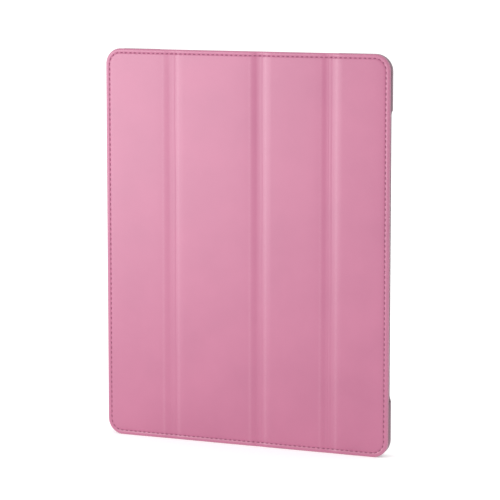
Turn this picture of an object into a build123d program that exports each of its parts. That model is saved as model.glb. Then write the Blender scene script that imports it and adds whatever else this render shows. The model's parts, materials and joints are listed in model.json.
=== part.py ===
"""A slim folding tablet case: a clip-on back shell, a spine and a four-panel stitched cover.

The case stands upright and closed. X is its width, with the spine at -X and the free edge at +X.
Y is its depth, with the cover at -Y and the back of the shell at +Y. Z is its height, from 0 up.
The origin is the middle of the bounding box in X and Y, at the bottom edge. Sizes are millimetres.
"""

import os

from build123d import *

# ---- The tablet that the shell holds ----
tablet_width = 185.7
tablet_height = 241.2
tablet_thickness = 9.4
tablet_corner = 9.0  # corner radius, seen from the front

# ---- Back shell: one moulding, clipped over the tablet ----
tablet_clearance = 0.3  # beside each edge of the tablet
tablet_depth_clearance = 0.2
shell_wall = 1.4
shell_back_round = 10.5  # the long rounding between the back and the sides, as on the tablet
lip_thickness = 0.7
lip_overhang = 1.0  # how far a corner lip reaches over the tablet's face
clip_length = 34.0  # length of each full-height corner, along a side
low_wall = 3.0  # height of the side walls between the corners
notch_round = 3.0
camera_hole_diameter = 12.0
camera_inset = 13.5  # hole's centre, from the tray's inner side and top
speaker_slots = 3
speaker_slot_length = 26.0
speaker_slot_width = 1.8
speaker_slot_pitch = 3.6
speaker_inset = 12.0  # first slot, up from the tray's inner bottom
speaker_side_inset = 26.0  # slots' middle, from the tray's inner side

# ---- Cover: skin outside, board in the middle, lining inside ----
skin_thickness = 0.8
board_thickness = 1.2
lining_thickness = 0.6
cover_corner = 10.0
cover_overhang = 0.2  # past the shell at the free edge
cover_gap = 0.3  # between the lining and the shell's lips
panel_shares = (0.2385, 0.3095, 0.2455)  # of the cover's width; the fourth panel is the rest

fold_flat = 3.6  # flat bottom of a fold channel
fold_slope = 3.4  # each sloped side of a fold channel
fold_gap = 0.3  # between the two halves of a fold, at its axis
hem_width = 3.6  # turned hem round the cover's outside
hinge_hem = 4.2  # turned hem beside the front hinge
board_fit = 0.15  # beside a board or a magnet in its pocket
lining_inset = 1.1  # lining's edge, in from the cover's edge

# ---- Stitching: a run of thread in a pressed groove ----
stitch_inset = 2.7
stitch_groove_width = 1.0
stitch_groove_depth = 0.4
thread_width = 0.8
thread_thickness = 0.35

# ---- Spine and the flap that holds the cover to the shell ----
spine_skin = 0.8
spine_board = 0.6
spine_lining = 0.5
spine_gap = 0.3  # between the spine's lining and the shell's side
spine_end_inset = 0.6  # spine's ends, in from where the cover's corners start
spine_margin = 3.6  # board's edge, in from a hinge axis or an end
spine_lining_margin = 2.4  # the lining's, which stays inside the hinges' roundings
hinge_corner_round = 1.8  # outer rounding of the skin at both spine hinges
hinge_gap = 0.3  # between the two halves of a spine hinge
flap_width = 42.0
flap_corner = 6.0
tape_thickness = 0.15
tape_inset = 4.0

# ---- Magnets and their steel plate ----
magnet_width = 5.0
magnet_length = 20.0
magnet_count = 3
magnet_pitch = 84.0
magnet_edge_gap = 1.0  # between a magnet's pocket and the board's edge
wake_magnet_diameter = 8.0
wake_magnet_drop = 42.0  # down from the middle of the cover
keeper_width = 14.0
keeper_end_inset = 22.6  # plate's ends, in from the cover's ends
keeper_thickness = 0.5

# ---- Sizes that follow from those above ----
cover_thickness = skin_thickness + board_thickness + lining_thickness
spine_thickness = spine_skin + spine_board + spine_lining
tray_width = tablet_width + 2 * tablet_clearance
tray_height = tablet_height + 2 * tablet_clearance
tray_depth = tablet_thickness + tablet_depth_clearance
shell_width = tray_width + 2 * shell_wall
shell_height = tray_height + 2 * shell_wall
shell_depth = shell_wall + tray_depth + lip_thickness
shell_corner = tablet_corner + tablet_clearance + shell_wall

case_width = spine_thickness + spine_gap + shell_width + cover_overhang
case_height = shell_height
case_depth = cover_thickness + cover_gap + shell_depth + tape_thickness + spine_skin
keeper_length = case_height - 2 * keeper_end_inset

left = -case_width / 2
right = case_width / 2
front = -case_depth / 2
back = case_depth / 2
shell_left = left + spine_thickness + spine_gap
shell_right = shell_left + shell_width
shell_front = front + cover_thickness + cover_gap
shell_back = shell_front + shell_depth
shell_middle = (shell_left + shell_right) / 2

fold_x = [left]
for share in panel_shares:
    fold_x.append(fold_x[-1] + share * case_width)
fold_x.append(right)

spine_low = cover_corner + spine_end_inset
spine_high = case_height - cover_corner - spine_end_inset
panel_count = len(panel_shares) + 1
board_back = front + skin_thickness + board_thickness  # where every board meets its lining
hinge_reach = 3 * cover_thickness  # how far the cut along a hinge's diagonal runs

os.makedirs("parts", exist_ok=True)


def finish(piece, name):
    """Label a finished piece and write it as its own STEP file."""
    piece.part.label = name
    export_step(piece.part, f"parts/{name}.step")


def facing(y):
    """The plane at depth y, seen from the front: its x is X, its y is Z, its normal is -Y."""
    return Plane.XZ.offset(-y)


def outline(inset, mode=Mode.ADD):
    """The cover's outline, drawn in from its edge by inset, on a facing plane."""
    with Locations((0, case_height / 2)):
        RectangleRounded(
            case_width - 2 * inset, case_height - 2 * inset, cover_corner - inset, mode=mode
        )


# ---- Panels of the cover ----


def panel_span(number, fold_margin, hinge_margin=0.0):
    """Lowest and highest X of a panel, in from its folds and from the front hinge."""
    x_low = fold_x[number - 1] + (hinge_margin if number == 1 else fold_margin)
    x_high = fold_x[number] - (0 if number == panel_count else fold_margin)
    return x_low, x_high


def panel_surface(number, depth):
    """Points of a panel's outer surface from left to right, moved inwards by depth.

    The skin dips into a channel at each fold, down to where it meets the lining.
    """
    top = front + depth
    bottom = top + board_thickness
    slope_start = fold_flat / 2 + fold_slope
    points = []
    if number > 1:
        fold = fold_x[number - 1]
        points.append((fold + fold_gap / 2, bottom))
        points.append((fold + fold_flat / 2, bottom))
        points.append((fold + slope_start, top))
    else:
        points.append((left, top))
    if number < panel_count:
        fold = fold_x[number]
        points.append((fold - slope_start, top))
        points.append((fold - fold_flat / 2, bottom))
        points.append((fold - fold_gap / 2, bottom))
    else:
        points.append((right, top))
    return points


def full_height_section(upper, lower):
    """Extrude the section between two lines of points over the whole height of the cover."""
    with BuildSketch() as section:
        with BuildLine():
            Polyline(*upper, *reversed(lower), close=True)
        make_face()
    extrude(section.sketch, amount=case_height)


def stitch_run(number, width, shallow, deep):
    """The stitching's path over one panel, between two depths under the skin's surface."""
    with BuildPart() as run:
        full_height_section(panel_surface(number, shallow), panel_surface(number, deep))
        with BuildSketch(facing(back)):
            outline(stitch_inset - width / 2)
            outline(stitch_inset + width / 2, mode=Mode.SUBTRACT)
        extrude(amount=case_depth, mode=Mode.INTERSECT)
    return run.part


def hinge_cut(corner_y, inwards, along_x):
    """Cut a piece back to its own side of the diagonal through a spine hinge's axis."""
    reach = hinge_reach
    slack = hinge_gap / 2 * 2**0.5
    triangle = [(-reach, -reach - slack), (reach, reach - slack), (-reach, reach - slack)]
    if not along_x:
        triangle = [(v, u) for u, v in triangle]
    with BuildSketch() as far_side:
        with BuildLine():
            Polyline(*[(left + u, corner_y + inwards * v) for u, v in triangle], close=True)
        make_face()
    extrude(far_side.sketch, amount=case_height, mode=Mode.SUBTRACT)


def hinge_round(corner_y, inwards):
    """Round the skin's outer corner at a spine hinge."""
    radius = hinge_corner_round
    with BuildSketch() as sharp_corner:
        with Locations((left + radius / 2, corner_y + inwards * radius / 2)):
            Rectangle(radius, radius)
        with Locations((left + radius, corner_y + inwards * radius)):
            Circle(radius, mode=Mode.SUBTRACT)
    extrude(sharp_corner.sketch, amount=case_height, mode=Mode.SUBTRACT)


def board_outline(number, inset):
    """The pocket for a panel's board, drawn in by inset, on a facing plane."""
    margin = fold_flat / 2 + fold_slope + inset
    x_low, x_high = panel_span(number, margin, hinge_hem + inset)
    with Locations(((x_low + x_high) / 2, case_height / 2)):
        Rectangle(x_high - x_low, case_height)
    outline(hem_width + inset, mode=Mode.INTERSECT)


# ---- Magnets and steel ----


def keeper_outline(grow):
    """The steel plate in the first panel, grown all round, on a facing plane."""
    x_low, x_high = panel_span(1, fold_flat / 2 + fold_slope, hinge_hem)
    with Locations(((x_low + x_high) / 2, case_height / 2)):
        Rectangle(keeper_width + 2 * grow, keeper_length + 2 * grow)


def magnet_outlines(grow):
    """The closure magnets beside the free edge, grown all round, on a facing plane."""
    x = right - hem_width - board_fit - magnet_edge_gap - magnet_width / 2
    with Locations((x, case_height / 2)):
        with GridLocations(0, magnet_pitch, 1, magnet_count):
            Rectangle(magnet_width + 2 * grow, magnet_length + 2 * grow)


def wake_magnet_outline(grow):
    """The round wake magnet beside the free edge, grown all round, on a facing plane."""
    radius = wake_magnet_diameter / 2
    x = right - hem_width - board_fit - magnet_edge_gap - radius
    with Locations((x, case_height / 2 - wake_magnet_drop)):
        Circle(radius + grow)


# ---- Spine and flap ----


def spine_strip(x_low, thickness, margin):
    """An upright strip of the spine, in by margin from both hinge axes and both ends."""
    with BuildSketch(Plane.XY.offset(spine_low + margin)) as section:
        with Locations((x_low + thickness / 2, 0)):
            Rectangle(thickness, case_depth - 2 * margin)
    extrude(section.sketch, amount=spine_high - spine_low - 2 * margin)


def flap_outline(x_low, inset):
    """The back flap from x_low to its far edge, drawn in by inset, on a facing plane."""
    x_high = left + flap_width - inset
    height = spine_high - spine_low - 2 * inset
    with Locations(((x_low + x_high) / 2, case_height / 2)):
        Rectangle(x_high - x_low, height)
    with Locations((x_high - flap_width, case_height / 2)):
        RectangleRounded(2 * flap_width, height, flap_corner - inset, mode=Mode.INTERSECT)


def flap_stitch_outline(width):
    """The flap's stitching: up its far edge and along both of its ends, on a facing plane."""
    start = left + hinge_corner_round + stitch_inset
    flap_outline(start, stitch_inset - width / 2)
    with Locations((left + flap_width - stitch_inset - width / 2 - flap_width, case_height / 2)):
        RectangleRounded(
            2 * flap_width,
            spine_high - spine_low - 2 * stitch_inset - width,
            flap_corner - stitch_inset - width / 2,
            mode=Mode.SUBTRACT,
        )


# ---- Back shell ----


def tray_block(width, height, corner, back_y, depth, rounding):
    """A slab with round corners, rounded over along its back edges."""
    with BuildPart() as block:
        with BuildSketch(facing(back_y)):
            with Locations((shell_middle, shell_height / 2)):
                RectangleRounded(width, height, corner)
        extrude(amount=depth)
        fillet(block.faces().sort_by(Axis.Y)[-1].edges(), radius=rounding)
    return block.part


def side_notch(plane, length):
    """Cut one side down to the low wall between two corners, through plane's wall."""
    reach = 2 * shell_depth
    with BuildSketch(plane) as notch:
        with Locations((shell_back - low_wall - reach / 2, length / 2)):
            RectangleRounded(reach, length - 2 * clip_length, notch_round)
    extrude(notch.sketch, amount=shell_back_round, both=True, mode=Mode.SUBTRACT)


outer_block = tray_block(
    shell_width, shell_height, shell_corner, shell_back, shell_depth, shell_back_round
)
tray_space = tray_block(
    tray_width,
    tray_height,
    shell_corner - shell_wall,
    shell_back - shell_wall,
    tray_depth,
    shell_back_round - shell_wall,
)
tray_right = shell_right - shell_wall
tray_top = shell_height - shell_wall

with BuildPart() as back_shell:
    add(outer_block)
    add(tray_space, mode=Mode.SUBTRACT)
    # The mouth, inside the lips
    with BuildSketch(facing(shell_front + lip_thickness)):
        with Locations((shell_middle, shell_height / 2)):
            RectangleRounded(
                tray_width - 2 * lip_overhang,
                tray_height - 2 * lip_overhang,
                shell_corner - shell_wall - lip_overhang,
            )
    extrude(amount=lip_thickness, mode=Mode.SUBTRACT)
    # Low walls at the free edge, the bottom and the top, for the tablet's buttons and sockets
    side_notch(Plane.YZ.offset(shell_right), shell_height)
    for z in (0, shell_height):
        side_notch(Plane((shell_left, 0, z), x_dir=(0, 1, 0), z_dir=(0, 0, -1)), shell_width)
    # The spine's side keeps its wall and loses its lip between the corners
    with BuildSketch(facing(shell_front + lip_thickness)):
        with Locations((shell_left + shell_wall + lip_overhang / 2, shell_height / 2)):
            Rectangle(lip_overhang, shell_height - 2 * clip_length)
    extrude(amount=lip_thickness, mode=Mode.SUBTRACT)
    # Camera window and sound slots, through the back
    with BuildSketch(facing(shell_back)):
        with Locations((tray_right - camera_inset, tray_top - camera_inset)):
            Circle(camera_hole_diameter / 2)
        slots_middle = speaker_inset + (speaker_slots - 1) * speaker_slot_pitch / 2
        with Locations((tray_right - speaker_side_inset, shell_wall + slots_middle)):
            with GridLocations(0, speaker_slot_pitch, 1, speaker_slots):
                SlotOverall(speaker_slot_length, speaker_slot_width)
    extrude(amount=2 * shell_wall, mode=Mode.SUBTRACT)
finish(back_shell, "back_shell")

# ---- Flap, bonded to the back of the shell ----
with BuildPart() as flap_skin:
    with BuildSketch(facing(back)):
        flap_outline(left, 0)
    extrude(amount=spine_skin)
    with BuildSketch(facing(back)):
        flap_stitch_outline(stitch_groove_width)
    extrude(amount=stitch_groove_depth, mode=Mode.SUBTRACT)
    hinge_cut(back, -1, along_x=True)
    hinge_round(back, -1)
finish(flap_skin, "flap_skin")

with BuildPart() as flap_thread:
    with BuildSketch(facing(back - stitch_groove_depth + thread_thickness)):
        flap_stitch_outline(thread_width)
    extrude(amount=thread_thickness)
finish(flap_thread, "flap_thread")

with BuildPart() as flap_tape:
    with BuildSketch(facing(shell_back + tape_thickness)):
        flap_outline(shell_left + shell_back_round, tape_inset)
    extrude(amount=tape_thickness)
finish(flap_tape, "flap_tape")

# ---- Spine, which spans the side of the shell ----
with BuildPart() as spine_skin_piece:
    spine_strip(left, spine_skin, 0)
    for corner_y, inwards in ((front, 1), (back, -1)):
        hinge_cut(corner_y, inwards, along_x=False)
        hinge_round(corner_y, inwards)
finish(spine_skin_piece, "spine_skin")

with BuildPart() as spine_board_piece:
    spine_strip(left + spine_skin, spine_board, spine_margin)
finish(spine_board_piece, "spine_board")

with BuildPart() as spine_lining_piece:
    spine_strip(left + spine_skin + spine_board, spine_lining, spine_lining_margin)
finish(spine_lining_piece, "spine_lining")

# ---- The four panels, from the spine to the free edge ----
for number in range(1, panel_count + 1):
    x_low, x_high = panel_span(number, fold_gap / 2)

    groove = stitch_run(number, stitch_groove_width, 0, stitch_groove_depth)
    with BuildPart() as skin:
        full_height_section(panel_surface(number, 0), [(x_low, board_back), (x_high, board_back)])
        with BuildSketch(facing(back)):
            outline(0)
        extrude(amount=case_depth, mode=Mode.INTERSECT)
        with BuildSketch(facing(board_back)):
            board_outline(number, 0)
        extrude(amount=board_thickness, mode=Mode.SUBTRACT)
        add(groove, mode=Mode.SUBTRACT)
        if number == 1:
            hinge_cut(front, 1, along_x=True)
            hinge_round(front, 1)
    finish(skin, f"panel_{number}_skin")

    with BuildPart() as board:
        with BuildSketch(facing(board_back)):
            board_outline(number, board_fit)
        extrude(amount=board_thickness)
        if number == 1:
            with BuildSketch(facing(board_back)):
                keeper_outline(board_fit)
            extrude(amount=keeper_thickness, mode=Mode.SUBTRACT)
        if number == panel_count:
            with BuildSketch(facing(board_back)):
                magnet_outlines(board_fit)
                wake_magnet_outline(board_fit)
            extrude(amount=board_thickness, mode=Mode.SUBTRACT)
    finish(board, f"panel_{number}_board")

    with BuildPart() as lining:
        with BuildSketch(facing(front + cover_thickness)):
            with Locations(((x_low + x_high) / 2, case_height / 2)):
                Rectangle(x_high - x_low, case_height)
            outline(lining_inset, mode=Mode.INTERSECT)
        extrude(amount=lining_thickness)
        if number == 1:
            hinge_cut(front, 1, along_x=True)
    finish(lining, f"panel_{number}_lining")

    thread_top = stitch_groove_depth - thread_thickness
    with BuildPart() as thread:
        add(stitch_run(number, thread_width, thread_top, stitch_groove_depth))
    finish(thread, f"panel_{number}_thread")

# ---- What the boards carry ----
with BuildPart() as keeper_plate:
    with BuildSketch(facing(board_back)):
        keeper_outline(0)
    extrude(amount=keeper_thickness)
finish(keeper_plate, "keeper_plate")

with BuildPart() as closure_magnets:
    with BuildSketch(facing(board_back)):
        magnet_outlines(0)
    extrude(amount=board_thickness)
finish(closure_magnets, "closure_magnets")

with BuildPart() as wake_magnet:
    with BuildSketch(facing(board_back)):
        wake_magnet_outline(0)
    extrude(amount=board_thickness)
finish(wake_magnet, "wake_magnet")
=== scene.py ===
import json
import math

import bmesh
import bpy
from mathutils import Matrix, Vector


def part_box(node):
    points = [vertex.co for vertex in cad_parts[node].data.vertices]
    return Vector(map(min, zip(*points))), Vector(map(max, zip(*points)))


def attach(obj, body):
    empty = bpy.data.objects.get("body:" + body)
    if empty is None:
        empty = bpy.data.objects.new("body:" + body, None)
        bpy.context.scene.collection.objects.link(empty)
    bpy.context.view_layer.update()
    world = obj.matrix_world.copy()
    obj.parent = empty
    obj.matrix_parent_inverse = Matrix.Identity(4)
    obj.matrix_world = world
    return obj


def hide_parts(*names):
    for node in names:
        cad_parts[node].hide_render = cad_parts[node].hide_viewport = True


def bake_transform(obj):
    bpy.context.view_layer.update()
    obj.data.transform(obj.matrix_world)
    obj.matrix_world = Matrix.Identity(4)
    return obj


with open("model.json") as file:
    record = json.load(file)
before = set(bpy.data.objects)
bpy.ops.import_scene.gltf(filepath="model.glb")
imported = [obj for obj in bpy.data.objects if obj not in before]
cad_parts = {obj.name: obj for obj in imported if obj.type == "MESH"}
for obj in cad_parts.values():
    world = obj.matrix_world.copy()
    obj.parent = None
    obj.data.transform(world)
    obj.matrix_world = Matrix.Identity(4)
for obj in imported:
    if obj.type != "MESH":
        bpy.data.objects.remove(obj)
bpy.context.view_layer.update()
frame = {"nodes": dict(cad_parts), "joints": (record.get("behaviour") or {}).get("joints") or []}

mm = 0.001

# ---- Camera ----
# A long lens stands off the cover's free edge and a little above the case.
# It looks at the middle of the case, so the frame needs no shift.
camera_azimuth = math.radians(24.6)
camera_pitch = math.radians(7.27)
camera_distance = 1.568
looked_at = Vector((0.0007, 0.0, 0.1216))
lens_length, film_width = 182.7, 36.0  # in millimetres

camera = bpy.data.objects.new("camera", bpy.data.cameras.new("camera"))
camera.data.lens = lens_length
camera.data.sensor_width = film_width
towards_camera = Vector((
    math.sin(camera_azimuth) * math.cos(camera_pitch),
    -math.cos(camera_azimuth) * math.cos(camera_pitch),
    math.sin(camera_pitch),
))
camera.location = looked_at + towards_camera * camera_distance
camera.rotation_euler = (-towards_camera).to_track_quat("-Z", "Y").to_euler()
bpy.context.scene.collection.objects.link(camera)
bpy.context.scene.camera = camera
bpy.context.scene.view_settings.view_transform = "Standard"


# ---- Floor and light ----
# A plain white light table that runs out of sight, and a large soft box low at the left, in front.
# The pale surroundings and the table's own glow fill the shadows in.
def linear(hex_colour):
    """The linear values of a colour that is written as sRGB hex, by the sRGB standard's curve."""
    parts = [int(hex_colour[i:i + 2], 16) / 255 for i in (0, 2, 4)]
    return (*[p / 12.92 if p <= 0.04045 else ((p + 0.055) / 1.055) ** 2.4 for p in parts], 1.0)


def add_node(tree, kind, inputs=None, **settings):
    """Add a node, give it its settings, and set or link its inputs."""
    made = tree.nodes.new(kind)
    for name, value in settings.items():
        setattr(made, name, value)
    for name, value in (inputs or {}).items():
        if isinstance(value, bpy.types.NodeSocket):
            tree.links.new(value, made.inputs[name])
        else:
            made.inputs[name].default_value = value
    return made


def new_material(name, **shader_inputs):
    """A material with one Principled shader, whose constant inputs are set on its own sockets."""
    material = bpy.data.materials.new(name)
    material.use_nodes = True
    shader = material.node_tree.nodes["Principled BSDF"]
    for socket, value in shader_inputs.items():
        shader.inputs[socket.replace("_", " ")].default_value = value
    return material, material.node_tree, shader


floor_reach = 12.0
floor_mesh = bpy.data.meshes.new("floor")
floor_mesh.from_pydata(
    [(x * floor_reach, y * floor_reach, 0.0) for x, y in ((-1, -1), (1, -1), (1, 1), (-1, 1))],
    [], [(0, 1, 2, 3)],
)
floor = bpy.data.objects.new("floor", floor_mesh)
bpy.context.scene.collection.objects.link(floor)
# Opal acrylic, lit from below: matt and even, so only the softest shadow shows on it
table_white, _, _ = new_material(
    "opal_acrylic", Base_Color=linear("f2f2f2"), Roughness=0.9, Specular_IOR_Level=0.0,
    Emission_Color=linear("ffffff"), Emission_Strength=0.3,
)
floor_mesh.materials.append(table_white)

surroundings = bpy.data.worlds.new("pale_surroundings")
surroundings.use_nodes = True
background = surroundings.node_tree.nodes["Background"]
background.inputs["Color"].default_value = linear("ffffff")
background.inputs["Strength"].default_value = 1.0
bpy.context.scene.world = surroundings


def soft_box(name, place, width, height, power):
    """A rectangular soft light that faces the middle of the case."""
    light = bpy.data.lights.new(name, "AREA")
    light.shape = "RECTANGLE"
    light.size, light.size_y = width, height
    light.energy = power
    box = bpy.data.objects.new(name, light)
    box.location = place
    box.rotation_euler = (looked_at - Vector(place)).to_track_quat("-Z", "Y").to_euler()
    bpy.context.scene.collection.objects.link(box)


soft_box("key_soft_box", place=(-0.62, -0.76, 0.25), width=0.6, height=0.54, power=4.7)


# ---- Cover skin, the four panels ----
# Smooth polyurethane synthetic leather, 0.8 mm, drawn over four boards and turned in all round.
# Its edge is rolled, the stitching pulls a groove into it, and it dips into a channel at each
# fold, where there is no board under it. Each panel is a closed shell with a pocket for its board.
cover_left, cover_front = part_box("panel_1_skin")[0].x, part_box("panel_1_skin")[0].y
cover_right, cover_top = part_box("panel_4_skin")[1].x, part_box("panel_4_skin")[1].z
fold_lines = [next(j["pos_m"][0] for j in frame["joints"] if j["name"] == f"fold_{k}")
              for k in (1, 2, 3)]
spine_bottom, spine_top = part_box("spine_skin")[0].z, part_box("spine_skin")[1].z

cover_corner = 10.0 * mm
cover_thickness = 2.6 * mm
skin_thickness = 0.8 * mm  # which is also the depth at which the boards start
board_back = 2.0 * mm  # depth at which boards and turned hems meet the lining
hem_width = 3.6 * mm
edge_step = 0.12 * mm  # from the back of the rolled edge to the lining's face
hinge_hem = 4.2 * mm  # from the front hinge's edge to the first panel's board
roll_front = 1.3 * mm  # rounding of the rolled edge, towards the front and towards the back
roll_back = 1.0 * mm
stitch_inset = 2.7 * mm
groove_depth = 0.28 * mm
groove_width, pucker_width = 0.42 * mm, 1.1 * mm
groove_share, pucker_share = 0.75, 0.25  # of the groove's depth
board_margin = 5.2 * mm  # from a fold's middle to the boards beside it
face_crown = 0.25 * mm  # how far a panel's face falls away towards its folds
end_crown = 0.4 * face_crown  # and towards its top and bottom
fold_reach = 9.2 * mm  # half width of the strip of skin that bends at a fold
# Each channel's depth, less than the board's thickness because the skin bridges the gap
channel_depths = (0.45 * mm, 0.68 * mm, 0.55 * mm)
# Where the skin bends across each channel, in mm from the fold's middle: where it starts to fall
# and falls steepest, where the flat bottom lies, and where it rises steepest and ends
channel_bends = ((-6.3, -1.4, 0.8, 2.6, 5.0, 9.0), (-5.8, -1.5, 0.8, 1.8, 5.2, 9.1),
                 (-6.3, -2.6, -0.6, 1.4, 4.3, 9.0))
# Pressed-in crease lines in each channel: distance from the fold's middle, and depth
creases = (((1.2 * mm, 0.015 * mm), (3.4 * mm, 0.07 * mm)),
           ((1.2 * mm, 0.03 * mm), (3.3 * mm, 0.06 * mm)),
           ((0.2 * mm, 0.05 * mm), (2.2 * mm, 0.03 * mm)))
crease_width = 0.28 * mm
crease_wander = 0.12 * mm  # how far a crease strays to each side
wander_length = 17 * mm
wander_offset = 9 / mm  # so that no two creases stray alike

# Distances in from the finished edge at which the skin's surface has points: close together
# round the rolled edge and across the stitched groove
edge_insets = [v * mm for v in (
    0, 0.02, 0.07, 0.16, 0.28, 0.43, 0.6, 0.8, 1.0, 1.15, 1.3, 1.55, 1.8, 2.05, 2.25, 2.4,
    2.55, 2.7, 2.85, 3.0, 3.15, 3.35, 3.6, 3.7, 4.2, 4.4, 5.2, 6.4, 8.0, 10.0)]


def channel_share(away, bends):
    """How far down a channel the skin is, 0 to 1, at a distance from the fold's middle.

    Its slope changes evenly from each bend to the next.
    """
    starts, falls, flat_from, flat_to, rises, ends = (v * mm for v in bends)
    if away < starts or away > ends:
        return 0.0
    if away < falls:
        return (away - starts) ** 2 / (falls - starts) / (flat_from - starts)
    if away < flat_from:
        return 1 - (flat_from - away) ** 2 / (flat_from - falls) / (flat_from - starts)
    if away < flat_to:
        return 1.0
    if away < rises:
        return 1 - (away - flat_to) ** 2 / (rises - flat_to) / (ends - flat_to)
    return (ends - away) ** 2 / (ends - rises) / (ends - flat_to)


whole_number_slack = 1e-6


def spread(low, high, pitch):
    """Evenly spaced values from low to high, no further apart than pitch."""
    count = max(1, math.ceil((high - low) / pitch - whole_number_slack))
    return [low + (high - low) * i / count for i in range(count + 1)]


def roll(inset, radius):
    """1 at a rolled edge, falling round a quarter circle to 0 at radius in from it."""
    return 1 - math.sqrt(max(0.0, 1 - (1 - min(inset / radius, 1.0)) ** 2))


def stitch_groove(inset, depth):
    """The valley that the thread pulls: a narrow groove in a wider, shallower pucker."""
    away = inset - stitch_inset
    return depth * (groove_share * math.exp(-(away / groove_width) ** 2)
                    + pucker_share * math.exp(-(away / pucker_width) ** 2))


def face_depth(x, z):
    """Depth of the skin's face at x, z: the crown of each panel, the channels, the creases."""
    edges = [cover_left, *fold_lines, cover_right]
    number = sum(x > line for line in fold_lines)
    across = (2 * x - edges[number] - edges[number + 1]) / (edges[number + 1] - edges[number])
    up = 2 * z / cover_top - 1
    depth = face_crown * across ** 4 + end_crown * up ** 6
    for line, deepest, bends, lines in zip(fold_lines, channel_depths, channel_bends, creases):
        away = x - line
        if abs(away) < fold_reach:
            share = channel_share(away, bends)
            depth += (deepest - depth) * share
            for offset, cut in lines:
                wander = crease_wander * math.sin(z / wander_length + offset * wander_offset)
                depth += cut * share * math.exp(-((away - offset - wander) / crease_width) ** 2)
    return depth


def skin_depths(x, z, inset):
    """Depth of a panel skin's outer and inner face at x, z, and at inset from the edge."""
    middle = cover_thickness / 2
    face = face_depth(x, z)
    outer = face + stitch_groove(inset, groove_depth)
    outer += (middle - outer) * roll(inset, roll_front)
    over_board = min(abs(x - line) for line in fold_lines) > board_margin
    if inset < roll_back:
        behind = cover_thickness - edge_step
        inner = behind + (middle - behind) * roll(inset, roll_back)
    elif inset > hem_width and over_board and x > cover_left + hinge_hem:
        inner = skin_thickness
    else:
        inner = board_back
    return outer, inner


def join_grids(grids):
    """Join grids of (x, z, inset) points into one sheet: its points, and its faces.

    Points less than a thousandth of a millimetre apart become one.
    """
    numbers, points, faces = {}, [], []
    for grid in grids:
        lines = []
        for line in grid:
            lines.append([])
            for point in line:
                key = (round(point[0] * 1e6), round(point[1] * 1e6))
                if key not in numbers:
                    numbers[key] = len(points)
                    points.append(point)
                lines[-1].append(numbers[key])
        for one, two in zip(lines, lines[1:]):
            for corners in zip(one, one[1:], two[1:], two):
                face = list(dict.fromkeys(corners))
                if len(face) > 2:
                    faces.append(face)
    return points, faces


def strip_sheet(columns, z_low, z_high, insets, pitch):
    """A sheet of straight columns between two finished ends."""
    rows = [(z_low + i, i) for i in insets]
    rows += [(z, insets[-1]) for z in spread(z_low + insets[-1], z_high - insets[-1], pitch)[1:-1]]
    rows += [(z_high - i, i) for i in reversed(insets)]
    return join_grids([[[(x, z, i) for z, i in rows] for x in columns]])


corner_steps = 14


def corner_sheet(x_cut, x_edge, z_low, z_high, corner, insets, pitch, gap=None):
    """A sheet from a straight cut at x_cut to a finished edge at x_edge with round corners.

    gap is the stretch of that edge, from z to z, that another piece carries on.
    """
    side = 1 if x_edge > x_cut else -1
    inner_edge = x_edge - side * corner
    columns = spread(min(x_cut, inner_edge), max(x_cut, inner_edge), pitch)
    columns = columns if side > 0 else columns[::-1]
    rows = spread(z_low + corner, z_high - corner, pitch)
    arc = [math.radians(90 * i / corner_steps) for i in range(corner_steps + 1)]

    def round_corner(z_middle, up, angles):
        return [[(inner_edge + side * (corner - i) * math.sin(a),
                  z_middle + up * (corner - i) * math.cos(a), i) for i in insets] for a in angles]

    low_ends = [[(x, z_low + i, i) for i in insets] for x in columns]
    high_ends = [[(x, z_high - i, i) for i in insets] for x in columns]
    stops = rows if gap is None else [rows[0], gap[0]]
    edge = [[(x_edge - side * i, z, i) for i in insets] for z in stops]
    grids = [low_ends, round_corner(z_low + corner, -1, arc), edge,
             round_corner(z_high - corner, 1, arc), high_ends]
    if gap is not None:
        rows = sorted({*rows, gap[0], gap[1]})
        grids.append([[(x_edge - side * i, z, i) for i in insets] for z in (gap[1], rows[-1])])
    grids.append([[(x, z, corner) for z in rows] for x in columns])
    return join_grids(grids)


same_point = 1e-7
sharp_leather_edge = math.radians(40)


def closed_piece(name, outer, inner, faces, material, rub=None):
    """A closed solid between two sheets that share their faces, walled along its cut edges.

    rub is how much handling shows at each outer point, 0 to 1.
    """
    points, twin = list(outer), []
    for number, point in enumerate(inner):
        shared = (Vector(point) - Vector(outer[number])).length < same_point
        twin.append(number if shared else len(points))
        if not shared:
            points.append(point)
    uses = {}
    for face in faces:
        for a, b in zip(face, face[1:] + face[:1]):
            uses.setdefault(frozenset((a, b)), []).append((a, b))
    polygons = [*faces, *[[twin[v] for v in reversed(face)] for face in faces]]
    for sides in uses.values():
        a, b = sides[0]
        wall = list(dict.fromkeys((b, a, twin[a], twin[b])))
        if len(sides) == 1 and len(wall) > 2:
            polygons.append(wall)
    mesh = bpy.data.meshes.new(name)
    mesh.from_pydata(points, [], polygons)
    work = bmesh.new()
    work.from_mesh(mesh)
    bmesh.ops.recalc_face_normals(work, faces=work.faces)
    work.to_mesh(mesh)
    work.free()
    mesh.shade_smooth()
    mesh.set_sharp_from_angle(angle=sharp_leather_edge)
    if rub is not None:
        rubbed = mesh.attributes.new("rub", "FLOAT", "POINT")
        rubbed.data.foreach_set("value", [*rub, *[0.0] * (len(points) - len(rub))])
    mesh.materials.append(material)
    piece = bpy.data.objects.new(name, mesh)
    bpy.context.scene.collection.objects.link(piece)
    return piece


rub_reach = 1.5 * mm  # how far in from an edge the handling shows
shoulder_rub, shoulder_width = 0.35, 0.9 * mm


def edge_rub(x, inset):
    """How much handling shows: most on the rolled edge, a little on the channels' shoulders."""
    shoulder = min(abs(abs(x - line) - board_margin) for line in fold_lines)
    return max(1 - min(inset / rub_reach, 1.0),
               shoulder_rub * math.exp(-(shoulder / shoulder_width) ** 2))


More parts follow.
